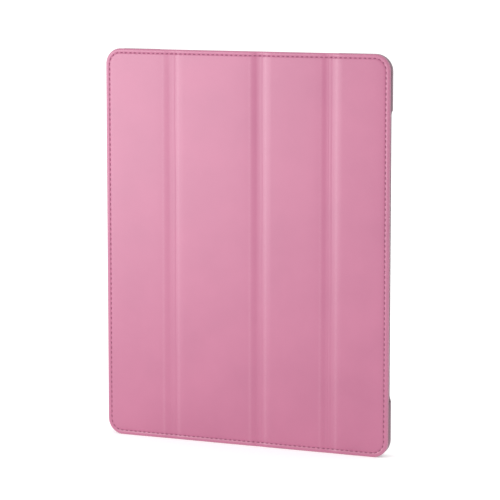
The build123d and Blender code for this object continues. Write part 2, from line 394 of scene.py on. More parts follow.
# Polyurethane synthetic leather: coagulated and embossed, then given a satin top coat.
# It gives an even pink with a soft broad gloss, a very fine grain and paler, handled edges.
skin_leather, tree, shader = new_material(
    "polyurethane_synthetic_leather", Roughness=0.46, IOR=1.5,
    Specular_IOR_Level=0.5, Coat_Weight=0.7, Coat_Roughness=0.3,
)
place = add_node(tree, "ShaderNodeTexCoord").outputs["Object"]
# Cloudy dye, in patches of about 30 mm
cloud = add_node(tree, "ShaderNodeTexNoise", {"Vector": place, "Scale": 33.0, "Detail": 2.0})
dye = add_node(tree, "ShaderNodeValToRGB", {"Fac": cloud.outputs["Fac"]})
dye.color_ramp.elements[0].position, dye.color_ramp.elements[1].position = 0.3, 0.7
dye.color_ramp.elements[0].color = linear("a55577")
dye.color_ramp.elements[1].color = linear("ab5b7c")
# Paler where it is handled, broken up at about 1 mm
rub_share = add_node(tree, "ShaderNodeAttribute", attribute_name="rub")
rub_fine = add_node(tree, "ShaderNodeTexNoise", {"Vector": place, "Scale": 900.0, "Detail": 3.0})
rub_amount = add_node(
    tree, "ShaderNodeMath", {0: rub_share.outputs["Fac"], 1: rub_fine.outputs["Fac"]},
    operation="MULTIPLY",
)
skin_colour = add_node(
    tree, "ShaderNodeMix",
    {0: rub_amount.outputs[0], 6: dye.outputs["Color"], 7: linear("bb7e95")}, data_type="RGBA",
)
tree.links.new(skin_colour.outputs[2], shader.inputs["Base Color"])
# Grain cells 0.45 mm across, drawn about twice as coarse as the real ones so that they show
grain = add_node(
    tree, "ShaderNodeTexVoronoi", {"Vector": place, "Scale": 2200.0}, feature="SMOOTH_F1"
)
# Slow unevenness of the backing, about 17 mm from swell to swell
swell = add_node(tree, "ShaderNodeTexNoise", {"Vector": place, "Scale": 60.0, "Detail": 3.0})
grain_bump = add_node(
    tree, "ShaderNodeBump",
    {"Height": grain.outputs["Distance"], "Strength": 0.10, "Distance": 0.05 * mm},
)
swell_bump = add_node(
    tree, "ShaderNodeBump",
    {"Height": swell.outputs["Fac"], "Strength": 0.25, "Distance": 0.25 * mm,
     "Normal": grain_bump.outputs["Normal"]},
)
tree.links.new(swell_bump.outputs["Normal"], shader.inputs["Normal"])
# The top coat is a little thinner over some patches, so its gloss differs
gloss = add_node(
    tree, "ShaderNodeMapRange",
    {"Value": cloud.outputs["Fac"], "To Min": 0.42, "To Max": 0.52},
)
tree.links.new(gloss.outputs["Result"], shader.inputs["Roughness"])


def cover_skin_piece(name, sheet):
    """A closed piece of the cover's skin on a flat sheet of (x, z, inset) points."""
    points, faces = sheet
    depths = [skin_depths(*point) for point in points]
    outer = [(x, cover_front + d[0], z) for (x, z, _), d in zip(points, depths)]
    inner = [(x, cover_front + d[1], z) for (x, z, _), d in zip(points, depths)]
    rub = [edge_rub(x, inset) for x, _, inset in points]
    return closed_piece(name, outer, inner, faces, skin_leather, rub)


panel_pitch = 4.0 * mm
panel_sheets = [
    corner_sheet(fold_lines[0] - fold_reach, cover_left, 0.0, cover_top, cover_corner,
                 edge_insets, panel_pitch, gap=(spine_bottom, spine_top)),
    strip_sheet(spread(fold_lines[0] + fold_reach, fold_lines[1] - fold_reach, panel_pitch),
                0.0, cover_top, edge_insets, panel_pitch),
    strip_sheet(spread(fold_lines[1] + fold_reach, fold_lines[2] - fold_reach, panel_pitch),
                0.0, cover_top, edge_insets, panel_pitch),
    corner_sheet(fold_lines[2] + fold_reach, cover_right, 0.0, cover_top, cover_corner,
                 edge_insets, panel_pitch),
]
for number, sheet in enumerate(panel_sheets, start=1):
    piece = cover_skin_piece(f"panel_{number}_leather", sheet)
    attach(piece, f"panel_{number}")
    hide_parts(f"panel_{number}_skin")

# ---- Cover skin, the three folds ----
# The same sheet of synthetic leather where it crosses a fold. It is bonded straight to the
# lining there, where the cover bends; here it is built in place and not tied to the panels beside
# it.
bend_reach = 1.9 * mm  # half width of the part of it that turns
fold_pitch = 3.0 * mm
bend_step = 0.2 * mm
fold_columns = [v * mm for v in (
    -9.2, -8.4, -7.6, -6.9, -6.3, -5.7, -5.25, -5.15, -4.8, -4.4, -4.0, -3.7, -3.5, -3.3, -3.1,
    -2.8, -2.5, -2.25, -2.0)]
fold_columns += [v * bend_step for v in range(-9, 10)] + [-v for v in reversed(fold_columns)]


def bend_at_fold(piece):
    """Bake a piece's placement into its mesh; it is not tied to the panels beside its fold."""
    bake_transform(piece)


for number, line in enumerate(fold_lines, start=1):
    sheet = strip_sheet([line + v for v in fold_columns], 0.0, cover_top, edge_insets, fold_pitch)
    bend_at_fold(cover_skin_piece(f"fold_{number}_leather", sheet))

# ---- Spine, its two hinges and the back flap ----
# One strip of the same leather runs round the side of the shell: past the front hinge, over a
# thin stiffener, past the back hinge, and on to the shell's back, where it is bonded and sewn.
flap_right, case_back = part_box("flap_skin")[1].x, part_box("flap_skin")[1].y
spine_thickness = 1.9 * mm
spine_edge_back = 1.78 * mm  # where the back of the spine's rolled end lies
spine_board_back = 1.4 * mm
spine_hem = 3.6 * mm
spine_flat = 4.0 * mm  # from a hinge axis to where the spine stays flat
flap_start = 6.0 * mm
flap_corner = 6.0 * mm
flap_thickness = 0.95 * mm
flap_edge_back, flap_hem_back = 0.9 * mm, 0.92 * mm
front_roll_share, back_roll_share = 0.8, 0.7  # of half the strip's thickness
spine_row_pitch = 6.0 * mm
spine_pitch = 1.0 * mm
hinge_pitch = 0.45 * mm
flap_pitch = 0.5 * mm
spine_insets = [v for v in edge_insets if v <= flap_corner] + [flap_corner]


def strip_depths(inset, thickness, behind, hem_back):
    """Depth of an edge-rolled strip's outer and inner face, at inset from its finished end."""
    middle = thickness / 2
    front_roll, back_roll = front_roll_share * middle, back_roll_share * middle
    outer = middle * roll(inset, front_roll)
    if inset < back_roll:
        inner = behind + (middle - behind) * roll(inset, back_roll)
    else:
        inner = hem_back if inset < spine_hem else skin_thickness
    return outer, inner


def spine_depths(inset):
    """Depth of the spine's outer and inner face, at inset from its end."""
    return strip_depths(inset, spine_thickness, spine_edge_back, spine_board_back)


def flap_depths(inset):
    """Depth of the flap's outer and glued face, at inset from its edge."""
    return strip_depths(inset, flap_thickness, flap_edge_back, flap_hem_back)


def sweep_piece(name, section, reach, material, rub=None):
    """A closed piece along the spine's height, from a section of paired outer and inner points.

    section(inset, z) gives the pairs at that height and distance from the piece's nearer end,
    and rub(x, y, inset) how much handling shows on an outer point.
    """
    low, high = reach
    last = spine_insets[-1]
    rows = [(low + i, i) for i in spine_insets]
    rows += [(z, last) for z in spread(low + last, high - last, spine_row_pitch)[1:-1]]
    rows += [(high - i, i) for i in reversed(spine_insets)]
    outer, inner, shade = [], [], []
    for z, inset in rows:
        pairs = section(inset, z)
        outer += [(a[0], a[1], z) for a, _ in pairs]
        inner += [(b[0], b[1], z) for _, b in pairs]
        if rub is not None:
            shade += [rub(a[0], a[1], inset) for a, _ in pairs]
    width = len(pairs)
    faces = [[r * width + c, r * width + c + 1, (r + 1) * width + c + 1, (r + 1) * width + c]
             for r in range(len(rows) - 1) for c in range(width - 1)]
    return closed_piece(name, outer, inner, faces, material, shade or None)


def spine_rub(x, y, inset):
    """Handling on the spine and flap: most at their ends and on the two rounded hinge corners."""
    rolled_to = cover_front + roll_front
    if y < rolled_to:
        return edge_rub(x, x - cover_left)
    corner = min(math.hypot(x - cover_left, y - edge) for edge in (rolled_to, case_back))
    return 1 - min(inset / rub_reach, corner / rub_reach, 1.0)


def spine_section(inset, _):
    """The flat of the spine, between its hinges."""
    out, into = spine_depths(inset)
    depths = spread(cover_front + spine_flat, case_back - spine_flat, spine_pitch)
    return [((cover_left + out, y), (cover_left + into, y)) for y in depths]


turn_width = 2.0 * mm  # how far the inside of the front hinge's corner reaches along the panel
turn_across, turn_back = 1.7 * mm, 0.8 * mm  # the corner's place from the left, behind the boards


def front_hinge_section(inset, z):
    """From the first panel's face, round the front hinge and on to the spine."""
    out, into = spine_depths(inset)
    pairs = []
    for t in reversed(edge_insets):
        x = cover_left + t
        outer, inner = skin_depths(x, z, t)
        inner_x = x
        if t < turn_width:
            share = 1 - t / turn_width
            inner_x = x + (turn_across - t) * share
            inner = board_back + turn_back * share
        pairs.append(((x, cover_front + outer), (inner_x, cover_front + inner)))
    first = pairs[-1][1][1]
    middle = cover_thickness / 2
    for y in spread(cover_front + middle, cover_front + spine_flat, hinge_pitch)[1:]:
        share = (y - cover_front - middle) / (spine_flat - middle)
        fade = min(1.0, 2 * share)
        inner_x = turn_across + (into - turn_across) * fade
        inner_y = first + (cover_front + spine_flat - first) * share
        pairs.append(((cover_left + out * fade, y), (cover_left + inner_x, inner_y)))
    return pairs


lag = 0.3 * mm  # how far the back hinge's inner points lie towards the flap
seam_from, seam_fade = 3.2 * mm, 0.8 * mm  # where the flap's stitched groove starts and deepens
pull_roll = 0.4 * mm  # how far in from the flap's edge the thread doesn't pull
back_turn_steps = 8


def back_hinge_section(inset, _):
    """From the spine, round the back hinge and on to the flap."""
    out, into = spine_depths(inset)
    flap_out, flap_in = flap_depths(inset)
    sewn = stitch_groove(inset, groove_depth)
    pairs = []
    for y in spread(case_back - spine_flat, case_back - roll_front, hinge_pitch)[:-1]:
        share = (y - case_back + spine_flat) / (spine_flat - roll_front)
        pairs.append(((cover_left + out, y), (cover_left + into, y + share * lag)))
    for i in range(back_turn_steps + 1):
        angle = math.radians(90 * i / back_turn_steps)
        across, along = 1 - math.cos(angle), math.sin(angle)
        outer = (cover_left + roll_front * across + out * (1 - across),
                 case_back - roll_front * (1 - along) - flap_out * along)
        depth = into + (flap_in - into) * across
        inner = (cover_left + roll_front * across + depth * (1 - across),
                 case_back - roll_front * (1 - along) - depth * along)
        pairs.append((outer, inner))
    for x in spread(cover_left + roll_front, cover_left + flap_start, flap_pitch)[1:]:
        sewn_share = min(max((x - cover_left - seam_from) / seam_fade, 0.0), 1.0)
        pull = sewn * sewn_share * (1 - roll(inset, pull_roll))
        pairs.append(((x, case_back - flap_out - pull), (x, case_back - flap_in)))
    return pairs


spine_reach = (spine_bottom, spine_top)
spine_leather = sweep_piece(
    "spine_leather", spine_section, spine_reach, skin_leather, spine_rub)
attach(spine_leather, "spine")
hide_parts("spine_skin")

front_hinge_leather = sweep_piece(
    "front_hinge_leather", front_hinge_section, spine_reach, skin_leather, spine_rub)
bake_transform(front_hinge_leather)

back_hinge_leather = sweep_piece(
    "back_hinge_leather", back_hinge_section, spine_reach, skin_leather, spine_rub)
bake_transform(back_hinge_leather)

flap_rub_reach = 1.2 * mm
points, faces = corner_sheet(cover_left + flap_start, flap_right, spine_bottom, spine_top,
                             flap_corner, spine_insets, panel_pitch)
outer, inner, rub = [], [], []
for x, z, inset in points:
    out, into = flap_depths(inset)
    out += stitch_groove(inset, groove_depth) * (1 - roll(inset, pull_roll))
    outer.append((x, case_back - out, z))
    inner.append((x, case_back - into, z))
    rub.append(1 - min(inset / flap_rub_reach, 1.0))
flap_leather = closed_piece(
    "flap_leather", outer, inner, faces, skin_leather, rub)
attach(flap_leather, "case_back")
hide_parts("flap_skin")

# ---- Lining ----
# Brushed microfibre, 0.6 mm, glued over the boards and the turned hems. It stops short of the
# rolled edge, is caught by the stitching, and carries on over the folds and round the spine.
lining_inset = 1.1 * mm
lining_roll = 0.35 * mm
lining_groove_depth = 0.24 * mm
fold_dent, fold_dent_width = 0.16 * mm, 0.7 * mm
# As edge_insets, but measured from the lining's own edge
lining_insets = [v * mm for v in (
    0, 0.03, 0.1, 0.2, 0.35, 0.5, 0.8, 1.05, 1.25, 1.4, 1.5, 1.6, 1.7, 1.8, 1.95, 2.15, 2.4, 3.2,
    4.6, 6.6, 8.9)]


def lining_depths(x, inset):
    """Depth of the lining's visible and glued face; inset is from the lining's own edge."""
    middle = (cover_thickness + board_back) / 2
    seen = cover_thickness - stitch_groove(inset + lining_inset, lining_groove_depth)
    for line in fold_lines:
        seen -= fold_dent * math.exp(-((x - line) / fold_dent_width) ** 2)
    return (seen + (middle - seen) * roll(inset, lining_roll),
            board_back + (middle - board_back) * roll(inset, lining_roll))


# Microfibre: split polyester knit, brushed on its face. It gives a matt, greyish rose with a
# soft sheen at a glancing angle and a short directionless nap.
microfibre, tree, shader = new_material(
    "brushed_microfibre", Roughness=0.95, Specular_IOR_Level=0.15, Sheen_Weight=0.35,
    Sheen_Roughness=0.5,
)
place = add_node(tree, "ShaderNodeTexCoord").outputs["Object"]
# Tufts of nap 0.7 mm across, drawn coarser than the real ones so that they show, and the marks
# of brushing, about 22 mm
nap = add_node(tree, "ShaderNodeTexNoise", {"Vector": place, "Scale": 1400.0, "Detail": 4.0})
brushed = add_node(tree, "ShaderNodeTexNoise", {"Vector": place, "Scale": 45.0, "Detail": 2.0})
pile = add_node(
    tree, "ShaderNodeMath", {0: nap.outputs["Fac"], 1: brushed.outputs["Fac"]}, operation="ADD"
)
pile_share = add_node(
    tree, "ShaderNodeMapRange", {"Value": pile.outputs[0], "From Min": 0.6, "From Max": 1.4}
)
pile_colour = add_node(tree, "ShaderNodeValToRGB", {"Fac": pile_share.outputs["Result"]})
pile_colour.color_ramp.elements[0].color = linear("b08897")
pile_colour.color_ramp.elements[1].color = linear("c099a7")
tree.links.new(pile_colour.outputs["Color"], shader.inputs["Base Color"])
nap_bump = add_node(
    tree, "ShaderNodeBump", {"Height": nap.outputs["Fac"], "Strength": 0.5, "Distance": 0.12 * mm}
)
tree.links.new(nap_bump.outputs["Normal"], shader.inputs["Normal"])


def cover_lining_piece(name, sheet):
    """A closed piece of the cover's lining on a flat sheet of (x, z, inset) points."""
    points, faces = sheet
    depths = [lining_depths(x, inset) for x, _, inset in points]
    seen = [(x, cover_front + d[0], z) for (x, z, _), d in zip(points, depths)]
    glued = [(x, cover_front + d[1], z) for (x, z, _), d in zip(points, depths)]
    return closed_piece(name, seen, glued, faces, microfibre)


lining_low, lining_high = lining_inset, cover_top - lining_inset
lining_corner = cover_corner - lining_inset
lining_gap = (spine_bottom + lining_inset, spine_top - lining_inset)
lining_reach = 3.0 * mm
lining_sheets = [
    corner_sheet(fold_lines[0] - lining_reach, cover_left + lining_inset, lining_low, lining_high,
                 lining_corner, lining_insets, panel_pitch, gap=lining_gap),
    strip_sheet(spread(fold_lines[0] + lining_reach, fold_lines[1] - lining_reach, panel_pitch),
                lining_low, lining_high, lining_insets, panel_pitch),
    strip_sheet(spread(fold_lines[1] + lining_reach, fold_lines[2] - lining_reach, panel_pitch),
                lining_low, lining_high, lining_insets, panel_pitch),
    corner_sheet(fold_lines[2] + lining_reach, cover_right - lining_inset, lining_low,
                 lining_high, lining_corner, lining_insets, panel_pitch),
]
for number, sheet in enumerate(lining_sheets, start=1):
    piece = cover_lining_piece(f"panel_{number}_microfibre", sheet)
    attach(piece, f"panel_{number}")
    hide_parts(f"panel_{number}_lining")

lining_steps = 12
lining_columns = [lining_reach * v / lining_steps for v in range(-lining_steps, lining_steps + 1)]
for number, line in enumerate(fold_lines, start=1):
    columns = [line + v for v in lining_columns]
    sheet = strip_sheet(columns, lining_low, lining_high, lining_insets, panel_pitch)
    bend_at_fold(cover_lining_piece(f"fold_{number}_microfibre", sheet))


turn_steps = 7


def arc_points(middle, radius, first, last):
    """Points on an arc in the horizontal plane, from one angle to another, in degrees."""
    angles = [math.radians(first + (last - first) * i / turn_steps) for i in range(turn_steps + 1)]
    return [(middle[0] + radius * math.cos(a), middle[1] + radius * math.sin(a)) for a in angles]


def lining_section(seen, glued):
    """A section function that closes a strip of lining at its two ends."""
    def section(inset, _):
        share = roll(inset, lining_roll)
        pairs = []
        for a, b in zip(seen, glued):
            middle = ((a[0] + b[0]) / 2, (a[1] + b[1]) / 2)
            pairs.append((tuple(p + (m - p) * share for p, m in zip(a, middle)),
                          tuple(p + (m - p) * share for p, m in zip(b, middle))))
        return pairs
    return section


spine_lining_x = cover_left + spine_thickness
spine_glue_x = cover_left + spine_board_back
lining_pitch = 1.5 * mm
flat_depths = spread(cover_front + spine_flat, case_back - spine_flat, lining_pitch)
spine_microfibre = sweep_piece(
    "spine_microfibre",
    lining_section([(spine_lining_x, y) for y in flat_depths],
                   [(spine_glue_x, y) for y in flat_depths]),
    lining_gap, microfibre,
)
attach(spine_microfibre, "spine")
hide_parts("spine_lining")

lining_face, glue_face = cover_front + cover_thickness, cover_front + board_back
inside_round = 0.5 * mm
glued_round = 1.0 * mm
turn_middle = (spine_lining_x + inside_round, lining_face + inside_round)
turn = arc_points(turn_middle, inside_round, 270, 180)
turn_glued = arc_points(turn_middle, glued_round, 270, 180)
panel_side = [cover_left + t for t in reversed(edge_insets) if t > stitch_inset]
front_hinge_microfibre = sweep_piece(
    "front_hinge_microfibre",
    lining_section(
        [*[(x, lining_face) for x in panel_side], *turn,
         (spine_lining_x, cover_front + spine_flat)],
        [*[(x, glue_face) for x in panel_side], *turn_glued,
         (spine_glue_x, cover_front + spine_flat)]),
    lining_gap, microfibre,
)
# It starts to turn level with the shell's front edge, so that it doesn't swell into the shell
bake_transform(front_hinge_microfibre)

back_round = 1.2 * mm
tucked_thickness = 0.28 * mm  # the lining, pressed flat under the flap
tucked = case_back - 1.1 * mm
tucked_inset = 1.5 * mm  # from the lining's ends elsewhere to its ends here
turn_middle = (spine_lining_x + back_round, tucked - back_round)
turn = arc_points(turn_middle, back_round, 180, 90)
turn_glued = arc_points(turn_middle, back_round + tucked_thickness, 180, 90)
flap_side = [cover_left + v * mm for v in (3.8, 4.6, 5.4, 6.2)]
back_hinge_microfibre = sweep_piece(
    "back_hinge_microfibre",
    lining_section(
        [(spine_lining_x, case_back - spine_flat), *turn, *[(x, tucked) for x in flap_side]],
        [(spine_glue_x, case_back - spine_flat), *turn_glued,
         *[(x, tucked + tucked_thickness) for x in flap_side]]),
    (lining_gap[0] + tucked_inset, lining_gap[1] - tucked_inset), microfibre,
)
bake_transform(back_hinge_microfibre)

# ---- Stitching ----
# A lockstitch in dark rose polyester thread, 3.15 mm to the stitch. It runs all round the cover
# 2.7 mm in from the edge, shows on the lining too, and runs round three sides of the flap.
stitch_pitch = 3.15 * mm
stitch_length = 2.1 * mm
thread_width = 0.8 * mm
stitch_rise = 0.55 * mm  # an arch: its ends are this far in, and its middle is drawn this far out
stitch_slant = math.radians(4)
stitch_drift = 0.035  # how much the slant varies each way, in radians
thread_lift = 0.02 * mm  # how far the thread's line sits off the groove's floor

# Bonded polyester thread: two plies twisted, with a slight lustre. Its dark rose is partly its own
# dye and partly painted shade of the groove and needle holes it lies in. It gives short dark dashes
# that are a little lighter on top.
polyester_thread, tree, shader = new_material(
    "polyester_thread", Roughness=0.55, Specular_IOR_Level=0.4, Sheen_Weight=0.2
)
place = add_node(tree, "ShaderNodeTexCoord").outputs["Object"]
# The plies' twist, 2 mm to the turn, drawn about twice as coarse as the real one so that it shows
twist = add_node(
    tree, "ShaderNodeTexWave",
    {"Vector": place, "Scale": 320.0, "Distortion": 1.5}, bands_direction="DIAGONAL",
)
thread_dye_and_painted_shade = add_node(tree, "ShaderNodeValToRGB", {"Fac": twist.outputs["Fac"]})
# Both ends of the ramp are darker than the thread's own dye: painted shade of the groove and needle
# holes
thread_dye_and_painted_shade.color_ramp.elements[0].color = linear("7c3857")
thread_dye_and_painted_shade.color_ramp.elements[1].color = linear("944f6d")
tree.links.new(thread_dye_and_painted_shade.outputs["Color"], shader.inputs["Base Color"])
twist_bump = add_node(
    tree, "ShaderNodeBump", {"Height": twist.outputs["Fac"], "Strength": 0.4, "Distance": 0.05 * mm}
)
tree.links.new(twist_bump.outputs["Normal"], shader.inputs["Normal"])

sewing = bpy.data.node_groups.new("lockstitch_run", "GeometryNodeTree")
for name, kind, direction in (
    ("Path", "NodeSocketGeometry", "INPUT"), ("Pitch", "NodeSocketFloat", "INPUT"),
    ("Stitch Length", "NodeSocketFloat", "INPUT"), ("Thread Width", "NodeSocketFloat", "INPUT"),
    ("Rise", "NodeSocketFloat", "INPUT"), ("Slant", "NodeSocketFloat", "INPUT"),
    ("From X", "NodeSocketFloat", "INPUT"), ("To X", "NodeSocketFloat", "INPUT"),
    ("Faces Change At Y", "NodeSocketFloat", "INPUT"), ("Thread", "NodeSocketMaterial", "INPUT"),
    ("Stitches", "NodeSocketGeometry", "OUTPUT"),
):
    sewing.interface.new_socket(name, in_out=direction, socket_type=kind)
given = add_node(sewing, "NodeGroupInput").outputs
curve = add_node(sewing, "GeometryNodeMeshToCurve", {"Mesh": given["Path"]})
spots = add_node(
    sewing, "GeometryNodeResampleCurve", {"Curve": curve.outputs[0], "Length": given["Pitch"]},
    mode="LENGTH",
)
position = add_node(sewing, "ShaderNodeSeparateXYZ",
                    {0: add_node(sewing, "GeometryNodeInputPosition").outputs[0]})
after = add_node(sewing, "ShaderNodeMath", {0: position.outputs["X"], 1: given["From X"]},
                 operation="GREATER_THAN")
before = add_node(sewing, "ShaderNodeMath", {0: given["To X"], 1: position.outputs["X"]},
                  operation="GREATER_THAN")
chosen = add_node(sewing, "ShaderNodeMath", {0: after.outputs[0], 1: before.outputs[0]},
                  operation="MULTIPLY")
behind = add_node(sewing, "ShaderNodeMath",
                  {0: position.outputs["Y"], 1: given["Faces Change At Y"]},
                  operation="GREATER_THAN")
facing_y = add_node(sewing, "ShaderNodeMath", {0: behind.outputs[0], 1: 2.0, 2: -1.0},
                    operation="MULTIPLY_ADD")
outward = add_node(sewing, "ShaderNodeCombineXYZ", {"Y": facing_y.outputs[0]})
along = add_node(
    sewing, "FunctionNodeAlignRotationToVector",
    {"Vector": add_node(sewing, "GeometryNodeInputTangent").outputs[0]}, axis="X",
)
upright = add_node(
    sewing, "FunctionNodeAlignRotationToVector",
    {"Rotation": along.outputs[0], "Vector": outward.outputs[0]}, axis="Z", pivot_axis="X",
)
drift = add_node(sewing, "FunctionNodeRandomValue", data_type="FLOAT")
drift.inputs[2].default_value, drift.inputs[3].default_value = -stitch_drift, stitch_drift
drift.inputs["Seed"].default_value = 7
lean = add_node(sewing, "ShaderNodeMath", {0: given["Slant"], 1: drift.outputs[1]}, operation="ADD")
leaning = add_node(sewing, "FunctionNodeAxisAngleToRotation",
                   {"Axis": (0.0, 0.0, 1.0), "Angle": lean.outputs[0]})
turned = add_node(
    sewing, "FunctionNodeRotateRotation",
    {"Rotation": upright.outputs[0], "Rotate By": leaning.outputs[0]}, rotation_space="LOCAL",
)
half = add_node(sewing, "ShaderNodeMath", {0: given["Stitch Length"], 1: 0.5}, operation="MULTIPLY")
minus_half = add_node(sewing, "ShaderNodeMath", {0: half.outputs[0], 1: -1.0}, operation="MULTIPLY")
sunk = add_node(sewing, "ShaderNodeMath", {0: given["Rise"], 1: -1.0}, operation="MULTIPLY")
start = add_node(sewing, "ShaderNodeCombineXYZ", {"X": minus_half.outputs[0], "Z": sunk.outputs[0]})
top = add_node(sewing, "ShaderNodeCombineXYZ", {"Z": given["Rise"]})
end = add_node(sewing, "ShaderNodeCombineXYZ", {"X": half.outputs[0], "Z": sunk.outputs[0]})
arch = add_node(
    sewing, "GeometryNodeCurveQuadraticBezier",
    {"Resolution": 5, "Start": start.outputs[0], "Middle": top.outputs[0], "End": end.outputs[0]},
)
radius = add_node(sewing, "ShaderNodeMath", {0: given["Thread Width"], 1: 0.5},
                  operation="MULTIPLY")
round_thread = add_node(sewing, "GeometryNodeCurvePrimitiveCircle",
                        {"Resolution": 6, "Radius": radius.outputs[0]})
stitch = add_node(
    sewing, "GeometryNodeCurveToMesh",
    {"Curve": arch.outputs[0], "Profile Curve": round_thread.outputs[0], "Fill Caps": True},
)
placed = add_node(
    sewing, "GeometryNodeInstanceOnPoints",
    {"Points": spots.outputs[0], "Selection": chosen.outputs[0], "Instance": stitch.outputs[0],
     "Rotation": turned.outputs[0]},
)
real = add_node(sewing, "GeometryNodeRealizeInstances", {"Geometry": placed.outputs[0]})
smooth = add_node(sewing, "GeometryNodeSetShadeSmooth", {"Geometry": real.outputs[0]})
threaded = add_node(sewing, "GeometryNodeSetMaterial",
                    {"Geometry": smooth.outputs[0], "Material": given["Thread"]})
add_node(sewing, "NodeGroupOutput", {"Stitches": threaded.outputs[0]})


def sewn_piece(name, loops, from_x, to_x, faces_change):
    """The stitches of some closed or open paths that lie between two values of X."""
    points, edges = [], []
    for loop, closed in loops:
        first = len(points)
        points += loop
        edges += [(first + i, first + i + 1) for i in range(len(loop) - 1)]
        if closed:
            edges.append((len(points) - 1, first))
    mesh = bpy.data.meshes.new(name)
    mesh.from_pydata(points, edges, [])
    piece = bpy.data.objects.new(name, mesh)
    bpy.context.scene.collection.objects.link(piece)
    run = piece.modifiers.new("lockstitch_run", "NODES")
    run.node_group = sewing
    values = {"Pitch": stitch_pitch, "Stitch Length": stitch_length, "Thread Width": thread_width,
              "Rise": stitch_rise, "Slant": stitch_slant, "From X": from_x, "To X": to_x,
              "Faces Change At Y": faces_change, "Thread": polyester_thread}
    for socket in sewing.interface.items_tree:
        if socket.name in values:
            run[socket.identifier] = values[socket.name]
    evaluated = piece.evaluated_get(bpy.context.evaluated_depsgraph_get())
    piece.data = bpy.data.meshes.new_from_object(evaluated)
    piece.data.name = name
    piece.modifiers.clear()
    return piece


corner_turn = 9  # degrees


def rounded_loop(left, right, low, high, corner):
    """Points round a rectangle with round corners, about a millimetre apart, as (x, z)."""
    loop = [(x, low) for x in spread(left + corner, right - corner, mm)]
    for cx, cz, first in ((right - corner, low + corner, -90), (right - corner, high - corner, 0),
                          (left + corner, high - corner, 90), (left + corner, low + corner, 180)):
        if first == 0:
            loop += [(right, z) for z in spread(low + corner, high - corner, mm)[1:-1]]
        if first == 90:
            loop += [(x, high) for x in spread(left + corner, right - corner, mm)[-2:0:-1]]
        if first == 180:
            loop += [(left, z) for z in spread(low + corner, high - corner, mm)[-2:0:-1]]
        loop += [(cx + corner * math.cos(a), cz + corner * math.sin(a))
                 for a in (math.radians(first + turned_by)
                           for turned_by in range(corner_turn, 90 + corner_turn, corner_turn))]
    return loop[:-1]


seam = rounded_loop(cover_left + stitch_inset, cover_right - stitch_inset, stitch_inset,
                    cover_top - stitch_inset, cover_corner - stitch_inset)
seam_front = [(x, cover_front + skin_depths(x, z, stitch_inset)[0] - thread_lift, z)
              for x, z in seam]
seam_lining = [(x, cover_front + lining_depths(x, stitch_inset - lining_inset)[0], z)
               for x, z in seam]
seam_loops = [(seam_front, True), (seam_lining, True)]
seam_middle = cover_front + 1.8 * mm  # between the two faces, so that each row faces outward
starts = [cover_left - mm, *[line + bend_reach for line in fold_lines]]
stops = [*[line - bend_reach for line in fold_lines], cover_right + mm]
for number, (from_x, to_x) in enumerate(zip(starts, stops), start=1):
    piece = sewn_piece(f"panel_{number}_stitches", seam_loops, from_x, to_x, seam_middle)
    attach(piece, f"panel_{number}")
    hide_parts(f"panel_{number}_thread")
for number, line in enumerate(fold_lines, start=1):
    piece = sewn_piece(f"fold_{number}_stitches", seam_loops, line - bend_reach,
                       line + bend_reach, seam_middle)
    bend_at_fold(piece)

# The flap's row is a loop cut open where it would run past the back hinge
flap_seam_start = cover_left + 4.1 * mm
flap_loop_left = flap_seam_start - 12 * mm
flap_seam = rounded_loop(
    flap_loop_left, flap_right - stitch_inset, spine_bottom + stitch_inset,
    spine_top - stitch_inset, flap_corner - stitch_inset,
)
flap_path = [(x, case_back - groove_depth + thread_lift, z)
             for x, z in flap_seam if x > flap_seam_start]
flap_stitches = sewn_piece("flap_stitches", [(flap_path, False)], flap_seam_start, flap_right, 0.0)
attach(flap_stitches, "case_back")
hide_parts("flap_thread")

# ---- Back shell ----
# One injection-moulded shell of frosted clear polycarbonate, 1.4 mm thick, that clips over the
# tablet by its four corners. Its edges are broken by a small radius, as the mould leaves them.
edge_break = 0.22 * mm
merge_distance = 0.001 * mm
flat_enough = math.radians(0.6)
sharp_enough = math.radians(40)
sharp_shell_edge = math.radians(35)

shell_mesh = frame["nodes"]["back_shell"].data.copy()
shell_mesh.name = "moulded_shell"
shell_mesh.materials.clear()
work = bmesh.new()
work.from_mesh(shell_mesh)
bmesh.ops.remove_doubles(work, verts=work.verts, dist=merge_distance)
bmesh.ops.dissolve_limit(work, angle_limit=flat_enough, verts=work.verts, edges=work.edges)
sharp = [e for e in work.edges if len(e.link_faces) == 2 and e.calc_face_angle() > sharp_enough]
bmesh.ops.bevel(work, geom=sharp, offset=edge_break, segments=2, profile=0.5, affect="EDGES",
                clamp_overlap=True)
bmesh.ops.triangulate(work, faces=[f for f in work.faces if len(f.verts) > 4])
work.to_mesh(shell_mesh)
work.free()
shell_mesh.shade_smooth()
shell_mesh.set_sharp_from_angle(angle=sharp_shell_edge)
moulded_shell = bpy.data.objects.new("moulded_shell", shell_mesh)
bpy.context.scene.collection.objects.link(moulded_shell)

# Frosted polycarbonate: clear resin moulded against a fine matt texture. It lets blurred light
# through, so what is behind shows as a haze. Its standing corners are painted darker and greyer:
# painted shade for the dark line that shading and refraction give at its edges.
frosted_polycarbonate, tree, shader = new_material(
    "frosted_polycarbonate", Roughness=0.48, IOR=1.585, Transmission_Weight=0.25,
)
place = add_node(tree, "ShaderNodeTexCoord").outputs["Object"]
# The pale tint turns to the painted shade of the standing corners over these distances behind the
# shell's front
painted_shade_from, painted_shade_to = 8.2 * mm, 5.5 * mm
depth = add_node(tree, "ShaderNodeSeparateXYZ", {0: place})
corner_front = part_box("back_shell")[0].y
painted_shade_share = add_node(
    tree, "ShaderNodeMapRange",
    {"Value": depth.outputs["Y"], "From Min": corner_front + painted_shade_from,
     "From Max": corner_front + painted_shade_to},
)
# Pale tint of the resin, turning to a dark mauve that is painted shade, not the resin's own colour
shell_tint_and_painted_shade = add_node(
    tree, "ShaderNodeMix", {0: painted_shade_share.outputs["Result"], 6: linear("cdb8c1"),
                            7: linear("84606f")}, data_type="RGBA",
)
tree.links.new(shell_tint_and_painted_shade.outputs[2], shader.inputs["Base Color"])
